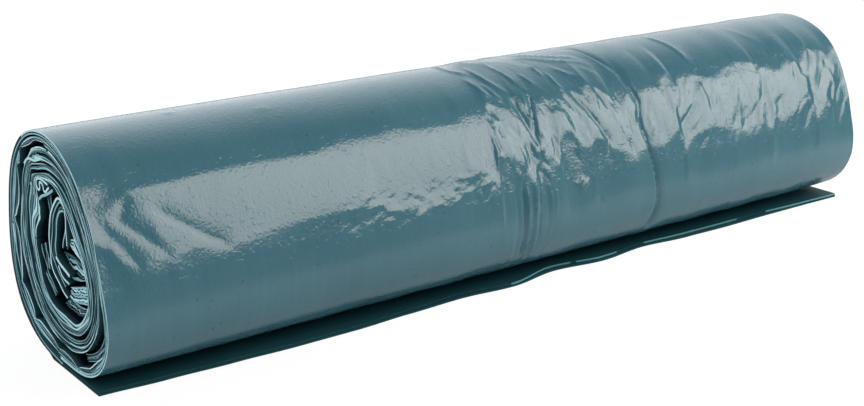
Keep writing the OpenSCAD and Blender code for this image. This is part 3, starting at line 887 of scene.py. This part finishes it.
# Single films, most of them loops of the crumpled heart: thickness, how far each stands back, rim
LOOPS = [
    (0.8, 0.5, 0, [(-0.23, 1.42), (-0.19, 1.48), (-0.12, 1.485), (-0.04, 1.42), (0.03, 1.31),
                   (0.09, 1.17), (0.125, 1.02), (0.11, 0.91), (0.06, 0.82), (-0.02, 0.75),
                   (-0.1, 0.7), (-0.18, 0.66)]),
    (0.6, 1, 1, [(-0.22, 1.4), (-0.16, 1.45), (-0.1, 1.44), (-0.03, 1.36), (0.03, 1.25),
                 (0.075, 1.12), (0.095, 1), (0.08, 0.92), (0.03, 0.84), (-0.05, 0.78), (-0.12, 0.735)]),
    (0.5, 1.2, 2, [(-0.2, 1.41), (-0.12, 1.41), (-0.05, 1.32), (0.01, 1.2), (0.05, 1.07),
                   (0.06, 0.97), (0.04, 0.9)]),
    (0.7, 1, 1, [(-0.19, 1.39), (-0.12, 1.37), (-0.06, 1.26), (-0.01, 1.13), (0.02, 1.02),
                 (0, 0.95), (-0.07, 0.91), (-0.16, 0.89), (-0.25, 0.87)]),
    (0.6, 2, 1, [(-0.21, 1.38), (-0.16, 1.27), (-0.12, 1.15), (-0.08, 1.05)]),
    (0.6, 2.5, 2, [(-0.235, 1.38), (-0.22, 1.25), (-0.19, 1.12), (-0.13, 1.05)]),
    (1.2, 0.5, 0, [(-0.02, 0.97), (-0.09, 0.92), (-0.17, 0.89), (-0.25, 0.865)]),
    (0.8, 0.8, 0, [(-0.01, 0.885), (-0.08, 0.835), (-0.16, 0.8), (-0.22, 0.79)]),
    (0.7, 0.5, 0, [(-0.25, 1.12), (-0.265, 1.25), (-0.275, 1.36), (-0.25, 1.41)]),
    (0.9, 0.5, 1, [(-0.05, 1.53), (0, 1.5), (0.07, 1.465), (0.14, 1.44), (0.2, 1.42), (0.28, 1.37)]),
    (0.8, 0.3, 0, [(0.02, 1.56), (0.1, 1.56), (0.19, 1.57), (0.25, 1.56), (0.275, 1.52),
                   (0.26, 1.475), (0.225, 1.46), (0.2, 1.49), (0.22, 1.53), (0.17, 1.545),
                   (0.125, 1.52), (0.14, 1.48), (0.09, 1.475), (0.06, 1.51), (0.02, 1.53)]),
    (0.9, 0.5, 1, [(0.43, 1.47), (0.37, 1.475), (0.33, 1.45), (0.34, 1.4), (0.39, 1.395),
                   (0.41, 1.43), (0.37, 1.44)]),
    (0.7, 0.6, 1, [(0.12, 1.8), (0.2, 1.805), (0.29, 1.795), (0.35, 1.77), (0.37, 1.735),
                   (0.34, 1.715), (0.31, 1.745), (0.285, 1.775), (0.255, 1.76), (0.275, 1.725),
                   (0.245, 1.705), (0.21, 1.74), (0.18, 1.77), (0.15, 1.75), (0.14, 1.72),
                   (0.1, 1.75), (0.05, 1.775)]),
    (0.8, 0.2, 0, [(0.5, 1.625), (0.44, 1.675), (0.39, 1.695), (0.33, 1.7), (0.26, 1.7),
                   (0.19, 1.725), (0.12, 1.745)]),
]
# Away from the ends the wound films lie further in, clear of the outer films' folds
DRAWN_IN, DRAWN_IN_OVER = 0.11, (6, 20)
# At the ends their edges stand unevenly and flare a little, which dies away over this length
END_LENGTH, FLARE = 6, 0.0025
# How far the edges stand back, more than each film's own distance: at least, on average and more
EDGE_LEAST, EDGE_MEAN, EDGE_UNEVEN = 0.05, 0.2, 0.3
# Steps between points along fans and loops, and the number of points round a ring, the share of
# the way that they take, so that it doesn't touch itself, and the turn from one ring to the next
FAN_STEP, LOOP_STEP = 1.1, 0.8
RING_POINTS, RING_CLOSED_TO, RING_SHIFT = 150, 0.997, 37
# Waves of the films' edges: at least this many, and one for so many points
EDGE_WAVES, POINTS_A_WAVE = 0.5, 30
FAN_UNEVEN = 0.4
# Random waves are this many sines. The step is how much faster and lower each next one is, and
# its rate varies by a factor.
SINES, SINE_STEP, SINE_FACTOR = 6, 0.4, (0.85, 1.15)
# Rate of the waves by which films share their room, and the fewest points along a line
ROOM_RATE, FEWEST_POINTS = 5, 4
# First seeds of the heart's fans and loops, and the steps of the seeds from film to film
FAN_SEED, LOOP_SEED = 300, 400
ROOM_SEED_STEP, FILM_SEED_STEP = 7, 100


def waver(places, seed, rate):
    """Random waves between about -1 and 1 at places from 0 to 1, with some rate of them."""
    draw = np.random.RandomState(seed)
    total = 0
    for k in range(SINES):
        turns = rate * (SINE_STEP + SINE_STEP * k) * draw.uniform(*SINE_FACTOR)
        sine = np.sin(2 * math.pi * (turns * places + draw.uniform()))
        total = total + sine / (1 + SINE_STEP * k)
    return total / 2


def shares_of_room(places, count, filled, uneven, seed):
    """Where each of a number of films starts and ends between two lines, as shares of the way."""
    seeds = [seed + ROOM_SEED_STEP * k for k in range(count)]
    weights = np.array([np.exp(uneven * waver(places, each, ROOM_RATE)) for each in seeds])
    weights = weights / weights.sum(axis=0)
    starts = np.cumsum(weights, axis=0) - weights
    return [(start, start + filled * weight) for start, weight in zip(starts, weights)]


def round_line(line, step):
    """Points at even steps along a line of corners that have been rounded twice."""
    points = np.array(line, float) * UNIT
    for _ in range(2):
        near, far = points[:-1], points[1:]
        cut = np.stack([0.75 * near + 0.25 * far, 0.25 * near + 0.75 * far], axis=1)
        points = np.concatenate([points[:1], cut.reshape(-1, 2), points[-1:]])
    return even_points(points, step=step)


def even_points(points, step=None, count=None):
    """Points at even steps along a line, or a given number of them."""
    run = np.concatenate([[0], np.cumsum(np.hypot(*np.diff(points, axis=0).T))])
    count = count or max(FEWEST_POINTS, int(run[-1] / step) + 1)
    at = np.linspace(0, run[-1], count)
    return np.stack([np.interp(at, run, points[:, k]) for k in range(2)], axis=1)


def ring_line(line, angles):
    """Points of a line that goes round the roll, at angles from the top towards the back."""
    points = np.array(line, float) * UNIT
    turn = np.degrees(np.arctan2(points[:, 0], points[:, 1] - CENTRE_HEIGHT)) % 360
    reach = np.interp(angles, turn, np.hypot(points[:, 0], points[:, 1] - CENTRE_HEIGHT), period=360)
    a = np.radians(angles)
    return np.stack([reach * np.sin(a), CENTRE_HEIGHT + reach * np.cos(a)], axis=1)


def end_to_end(outer, inner, back, seed):
    """Closed film between two lines, run from end to end: columns of points along the roll."""
    line = np.concatenate([outer, inner[::-1]])
    places = np.linspace(0, 1, len(outer))
    x = NEAR_END + np.array(sorted(COARSE_FROM_END + [ROLL_LENGTH - d for d in COARSE_FROM_END]))
    from_end = np.minimum(x - NEAR_END, FAR_END - x)
    rate = max(EDGE_WAVES, len(outer) / POINTS_A_WAVE)
    uneven = EDGE_MEAN + EDGE_UNEVEN * waver(places, seed, rate)
    uneven = np.maximum(EDGE_LEAST, back + uneven)
    flare = FLARE * waver(places, seed + 1, rate)
    uneven, flare = (np.concatenate([both, both[::-1]])[:, None] for both in (uneven, flare))
    at_end = np.exp(-from_end / END_LENGTH)
    scale = 1 - DRAWN_IN * smooth(from_end, *DRAWN_IN_OVER) + flare * at_end
    x = x + uneven * at_end * np.where(x < 0, 1, -1)
    height = CENTRE_HEIGHT + (line[:, 1:] - CENTRE_HEIGHT) * scale
    return place(x, line[:, :1] * scale, height)


def wound_piece(name, films):
    """One mesh of closed films. Each film is its columns of points and the shade of its rim."""
    vertices, faces, slots = [], [], []
    for points, rim in films:
        start = sum(len(part) for part in vertices)
        count, marks = points.shape[:2]
        number = start + np.arange(count * marks).reshape(count, marks)
        across = np.roll(number, -1, axis=0)
        sides = np.stack([
            number[:, :-1], number[:, 1:], across[:, 1:], across[:, :-1]
        ], axis=-1).reshape(-1, 4)
        half = count // 2
        one, two = number[:half], number[half:][::-1]
        caps = np.concatenate([
            np.stack([one[:-1, 0], one[1:, 0], two[1:, 0], two[:-1, 0]], axis=1),
            np.stack([two[:-1, -1], two[1:, -1], one[1:, -1], one[:-1, -1]], axis=1),
        ])
        film = np.concatenate([sides, caps])
        corners = points.reshape(-1, 3)[film - start]
        first, second, third, fourth = (corners[:, k] for k in range(4))
        inside = np.einsum("ij,ij", first, np.cross(second, third) + np.cross(third, fourth))
        if inside < 0:
            film = film[:, ::-1]
        vertices.append(points.reshape(-1, 3))
        faces.append(film)
        slots += [0] * len(sides) + [1 + rim] * len(caps)
    faces = np.concatenate(faces).tolist()
    film_piece(name, np.concatenate(vertices), faces, slots, [INNER, *RIMS])


def ring_films(outside, inside, count, filled, back, uneven, rims, seed):
    films = []
    places = np.linspace(0, RING_CLOSED_TO, RING_POINTS)
    for k, (start, end) in enumerate(shares_of_room(places, count, filled, uneven, seed)):
        angles = (360 * places + RING_SHIFT * k * seed) % 360
        outer, inner = ring_line(outside, angles), ring_line(inside, angles)
        way = inner - outer
        start, end = start[:, None], end[:, None]
        ends = outer + way * start, outer + way * end
        points = end_to_end(*ends, back, seed + FILM_SEED_STEP * k)
        films.append((points, rims[k % len(rims)]))
    return films


def fan_films(count, filled, back, rims, first, last, seed):
    films = []
    one, two = round_line(first, FAN_STEP), round_line(last, FAN_STEP)
    number = max(len(one), len(two))
    one, two = even_points(one, count=number), even_points(two, count=number)
    places = np.linspace(0, 1, number)
    for k, (start, end) in enumerate(shares_of_room(places, count, filled, FAN_UNEVEN, seed)):
        start, end = start[:, None], end[:, None]
        ends = one + (two - one) * start, one + (two - one) * end
        points = end_to_end(*ends, back, seed + FILM_SEED_STEP * k)
        films.append((points, rims[k % len(rims)]))
    return films


def loop_film(thick, back, rim, line, seed):
    middle = round_line(line, LOOP_STEP)
    way = np.gradient(middle, axis=0)
    way = way / np.hypot(way[:, 0], way[:, 1])[:, None]
    aside = np.stack([-way[:, 1], way[:, 0]], axis=1) * thick / 2
    return end_to_end(middle + aside, middle - aside, back, seed), rim


for ring, outside, inside, *how in RINGS:
    wound_piece(ring, ring_films(outside, inside, *how))
heart = []
for k, fan in enumerate(FANS):
    heart += fan_films(*fan, FAN_SEED + k)
for k, loop in enumerate(LOOPS):
    heart.append(loop_film(*loop, LOOP_SEED + k))
wound_piece("heart", heart)

# Floor, lights and camera

FLOOR, FLOOR_DROP = 6.0, 0.0003
FLOOR_COLOUR = (0.85, 0.85, 0.86)
# What the camera sees of it is a white glow for the most part, and the rest keeps the shadow
GLOW_SHARE, GLOW = 0.86, 1.06
# The film mirrors a brighter floor close to the roll than further to the front
FLOOR_IN_GLOSS = (0.52, 0.54, 0.55)
FAR_FLOOR_IN_GLOSS = (0.13, 0.14, 0.15)
GLOSS_FLOOR_FROM, GLOSS_FLOOR_TO = 85, 150


def floor_material():
    """White floor that keeps the shadow. It is brighter to the camera and dimmer in gloss."""
    material = bpy.data.materials.new("floor_white")
    material.use_nodes = True
    tree = material.node_tree
    tree.nodes.clear()
    ways = add_node(tree, "LightPath", {}).outputs

    def diffuse(colour):
        return add_node(tree, "BsdfDiffuse", {"Color": (*colour, 1)}).outputs[0]

    def mix(share, first, second):
        return add_node(tree, "MixShader", {0: share, 1: first, 2: second}).outputs[0]

    y = add_axes(tree, "TexCoord", "Object")["Y"]
    near = add_range(tree, y, -GLOSS_FLOOR_TO * MM, -GLOSS_FLOOR_FROM * MM)
    in_gloss = mix(near, diffuse(FAR_FLOOR_IN_GLOSS), diffuse(FLOOR_IN_GLOSS))
    plain = mix(ways["Is Glossy Ray"], diffuse(FLOOR_COLOUR), in_gloss)
    glow = add_node(tree, "Emission", {"Strength": GLOW}).outputs[0]
    to_camera = {0: ways["Is Camera Ray"], 1: GLOW_SHARE}
    to_camera = add_node(tree, "Math", to_camera, operation="MULTIPLY").outputs[0]
    add_node(tree, "OutputMaterial", {"Surface": mix(to_camera, plain, glow)})
    return material


floor_mesh = bpy.data.meshes.new("floor")
floor_corners = [(x * FLOOR, y * FLOOR, 0) for x, y in ((-1, -1), (1, -1), (1, 1), (-1, 1))]
floor_mesh.from_pydata(floor_corners, [], [(0, 1, 2, 3)])
floor_mesh.materials.append(floor_material())
floor = add_object("floor", floor_mesh)
floor.location.z = -FLOOR_DROP


def aim(thing, side, up, back, middle):
    """Turn a lamp or camera by the directions of its X, Y and Z, and put it in its place."""
    thing.matrix_world = Matrix((
        (side.x, up.x, back.x, middle.x),
        (side.y, up.y, back.y, middle.y),
        (side.z, up.z, back.z, middle.z),
        (0, 0, 0, 1),
    ))


# The front lamp's upper and lower edge are seen from the film at these angles from straight up
LAMP_TOP, LAMP_BOTTOM = 28, 77.4
LAMP_DISTANCE = 2
LAMP_X = (0.35, 3.2)
LAMP_RADIANCE = 2.62
LAMP_COLOUR = (1.0, 0.93, 0.83)
# Share of its brightness that the lamp has at its near and far end, and at its foot and head
LAMP_ALONG = (0.92, 1.48)
LAMP_UP = (0.98, 1.14)


def lamp_edge(film_angle, ray_angle):
    """Place in the YZ plane that a ray reaches from the film, in metres."""
    _, y, z = section(0, outline_radius(film_angle + 180), film_angle + 180) * MM
    ray = math.radians(ray_angle)
    return Vector((0, y - LAMP_DISTANCE * math.sin(ray), z + LAMP_DISTANCE * math.cos(ray)))


def grade_lamp(lamp):
    """Make a lamp brighter towards its upper edge and its far end, as a real softbox is."""
    lamp.use_nodes = True
    tree = lamp.node_tree
    emission = next(node for node in tree.nodes if node.type == "EMISSION")
    axes = add_axes(tree, "NewGeometry", "Parametric")
    shares = [add_range(tree, axes[axis], 0, 1, *ends) for axis, ends in zip("XY", (LAMP_ALONG, LAMP_UP))]
    strength = add_node(tree, "Math", dict(enumerate(shares)), operation="MULTIPLY")
    tree.links.new(strength.outputs[0], emission.inputs["Strength"])


def build_lamp(name, width, height, radiance, side, up, middle):
    """Area lamp of a width and height in metres, along its side and up directions."""
    lamp = bpy.data.lights.new(name, "AREA")
    lamp.shape = "RECTANGLE"
    lamp.size = width
    lamp.size_y = height
    lamp.energy = radiance * math.pi * width * height
    thing = add_object(name, lamp)
    aim(thing, side, up, side.cross(up), middle)
    thing.visible_camera = False
    return thing


def build_front_lamp():
    low, high = lamp_edge(LIT_TO, LAMP_BOTTOM), lamp_edge(LIT_FROM, LAMP_TOP)
    up = high - low
    middle = (low + high) / 2
    middle.x = sum(LAMP_X) / 2
    size = LAMP_X[1] - LAMP_X[0], up.length
    side = Vector((1, 0, 0))
    lamp = build_lamp("front_softbox", *size, LAMP_RADIANCE, side, up.normalized(), middle).data
    lamp.color = LAMP_COLOUR
    grade_lamp(lamp)


build_front_lamp()

# Soft lamps that even the light and make no reflection: place, size and radiance
FILLS = [
    ("fill_end", Vector((-0.8, -0.6, 0.7)), 1.0, 1.3),
    ("fill_front", Vector((0.42, -0.35, 0.45)), 0.5, 3.2),
    ("fill_back", Vector((-0.3, 0.6, 0.8)), 1.0, 0.85),
]
for lamp_name, lamp_middle, lamp_size, lamp_radiance in FILLS:
    lamp_back = lamp_middle.normalized()
    lamp_side = Vector((0, 0, 1)).cross(lamp_back).normalized()
    lamp_up = lamp_back.cross(lamp_side)
    fill = build_lamp(lamp_name, lamp_size, lamp_size, lamp_radiance, lamp_side, lamp_up, lamp_middle)
    fill.visible_glossy = False

# The room as the film sees it: how bright its back wall and its ceiling are, and the angles from
# straight up towards the front at which one fades into the other. The wall's edge leans.
ROOM_BACK, ROOM_CEILING = 1.54, 0.05
BACK_UP_TO, CEILING_FROM = math.radians(-62), math.radians(8)
WALL_LEAN, WALL_LEAN_AT = math.radians(12), 0.57
ROOM_COLOUR = (0.97, 1.0, 1.03)
# The room gets dimmer towards its far side, between these slopes, down to this share
ASIDE_FROM, ASIDE_TO, ASIDE_SHARE = 0.45, 1.1, 0.7


def build_world():
    """A room with a bright back wall and a dark ceiling, which the camera sees as white."""
    world = bpy.data.worlds.new("studio")
    bpy.context.scene.world = world
    world.use_nodes = True
    tree = world.node_tree
    tree.nodes.clear()

    def calculate(operation, *values):
        return add_node(tree, "Math", dict(enumerate(values)), operation=operation).outputs[0]

    def soft_range(value, *ends):
        return add_range(tree, value, *ends, interpolation_type="SMOOTHSTEP")

    axes = add_axes(tree, "TexCoord", "Generated")
    x, y, z = (axes[axis] for axis in "XYZ")
    angle = calculate("ARCTAN2", calculate("MULTIPLY", y, -1), z)
    across = calculate("SQRT", calculate("ADD", calculate("POWER", y, 2), calculate("POWER", z, 2)))
    slope = calculate("DIVIDE", x, across)
    lean = calculate("SUBTRACT", slope, WALL_LEAN_AT)
    lean = calculate("MINIMUM", calculate("MAXIMUM", lean, -1), 1)
    angle = calculate("SUBTRACT", angle, calculate("MULTIPLY", lean, WALL_LEAN))
    fade = soft_range(angle, BACK_UP_TO, CEILING_FROM, ROOM_BACK, ROOM_CEILING)
    aside = soft_range(slope, ASIDE_FROM, ASIDE_TO, 1, ASIDE_SHARE)
    strength = calculate("MULTIPLY", fade, aside)
    room = add_node(tree, "Background", {"Color": (*ROOM_COLOUR, 1), "Strength": strength}).outputs[0]
    white = add_node(tree, "Background", {"Strength": 1}).outputs[0]
    to_camera = add_node(tree, "LightPath", {}).outputs["Is Camera Ray"]
    mix = add_node(tree, "MixShader", {0: to_camera, 1: room, 2: white})
    add_node(tree, "OutputWorld", {"Surface": mix.outputs[0]})


build_world()

CAMERA_FORWARD = Vector((0.5704, 0.7636, -0.3027)).normalized()
CAMERA_PLACE = Vector((-334.7, -413.0 + Y_SHIFT, 191.1)) * MM
LENS, SENSOR_WIDTH = 59.87, 36
CLIP_START = 0.01


def build_camera():
    camera = bpy.data.cameras.new("photo_camera")
    camera.lens = LENS
    camera.sensor_width = SENSOR_WIDTH
    camera.clip_start = CLIP_START
    thing = add_object("photo_camera", camera)
    side = CAMERA_FORWARD.cross(Vector((0, 0, 1))).normalized()
    aim(thing, side, side.cross(CAMERA_FORWARD), -CAMERA_FORWARD, CAMERA_PLACE)
    bpy.context.scene.camera = thing


build_camera()
bpy.context.scene.view_settings.view_transform = "Standard"
